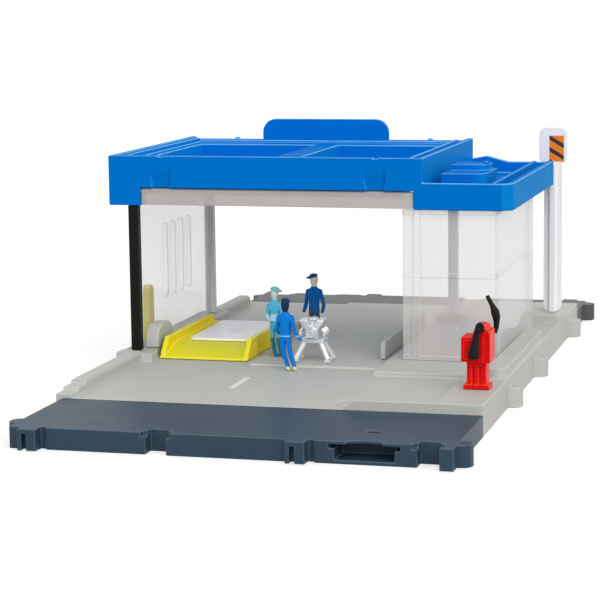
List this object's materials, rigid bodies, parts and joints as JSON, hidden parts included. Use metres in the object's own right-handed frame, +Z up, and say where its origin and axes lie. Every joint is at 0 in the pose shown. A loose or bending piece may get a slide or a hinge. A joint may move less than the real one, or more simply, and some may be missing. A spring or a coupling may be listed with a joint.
{
  "type": "toy garage",
  "caption": "Toy garage on a clip-together road base: posted roof with a drop-down door, lever-worked car lift, clear-walled office, fuel pump, street sign and mechanics.",
  "frame": {"origin": "centre of the footprint at ground level", "axes": "+X to the garage's right seen from the front, +Y from the front road to the rear road, +Z up"},
  "size_m": [0.176, 0.339, 0.1014],
  "materials": {
    "base_grey": "satin moulded plastic",
    "slate": "satin moulded plastic",
    "rear_slate": "satin moulded plastic",
    "roof_blue": "glossy moulded plastic",
    "black": "glossy moulded plastic",
    "post_grey": "satin moulded plastic",
    "clear": "clear plastic",
    "smoke": "smoked clear plastic",
    "yellow": "glossy moulded plastic",
    "white": "satin moulded plastic",
    "red": "glossy moulded plastic",
    "mechanic_blue": "one-colour figure plastic",
    "mechanic_teal": "one-colour figure plastic",
    "chrome": "bright plating on plastic",
    "steel": "plain steel"
  },
  "bodies": {
    "garage": {"base_plate": "base_grey", "front_road": "slate", "rear_road": "rear_slate", "guide_rail": "base_grey", "wall_bracket": "base_grey", "front_left_post": "black", "rear_left_post": "post_grey", "rear_right_post": "post_grey", "left_wall": "clear", "office_front_glazing": "clear", "office_side_glazing": "clear", "roof": "roof_blue", "roof_sign_panel": "roof_blue", "roof_vent_unit": "roof_blue", "pump_pedestal": "red", "pump_head": "red", "sign_pole": "white", "sign_board": "white", "mechanic_front": "mechanic_blue", "mechanic_side": "mechanic_teal", "mechanic_rear": "mechanic_blue", "engine_block": "chrome", "engine_stand": "chrome"},
    "lever": {"lift_lever": "yellow", "lift_finger": "post_grey", "finger_screw": "steel"},
    "lift": {"lift_tray": "yellow", "lift_pad": "white"},
    "door": {"garage_door": "smoke"},
    "front_nozzle": {"nozzle_front": "black"},
    "rear_nozzle": {"nozzle_rear": "black"}
  },
  "joints": [
    {"name": "door_hinge", "type": "hinge", "parent": "garage", "child": "door", "pos_m": [-0.0171, -0.0297, 0.0784], "axis": [-1, 0, 0], "range_deg": [0, 90]},
    {"name": "lever_pivot", "type": "hinge", "parent": "garage", "child": "lever", "pos_m": [-0.07, 0.0095, 0.0038], "axis": [-1, 0, 0], "range_deg": [0, 50]},
    {"name": "lift_hinge", "type": "hinge", "parent": "garage", "child": "lift", "pos_m": [-0.05, 0.0426, 0.0107], "axis": [-1, 0, 0], "range_deg": [0, 14]},
    {"name": "front_nozzle_pivot", "type": "hinge", "parent": "garage", "child": "front_nozzle", "pos_m": [0.07658, -0.0865, 0.0343], "axis": [0, 1, 0], "range_deg": [-90, 75]},
    {"name": "rear_nozzle_pivot", "type": "hinge", "parent": "garage", "child": "rear_nozzle", "pos_m": [0.079, -0.0765, 0.0323], "axis": [0, 1, 0], "range_deg": [-40, 150]}
  ],
  "couplings": [
    {"joint": "lift_hinge", "follows": "lever_pivot", "ratio": 0.28}
  ]
}
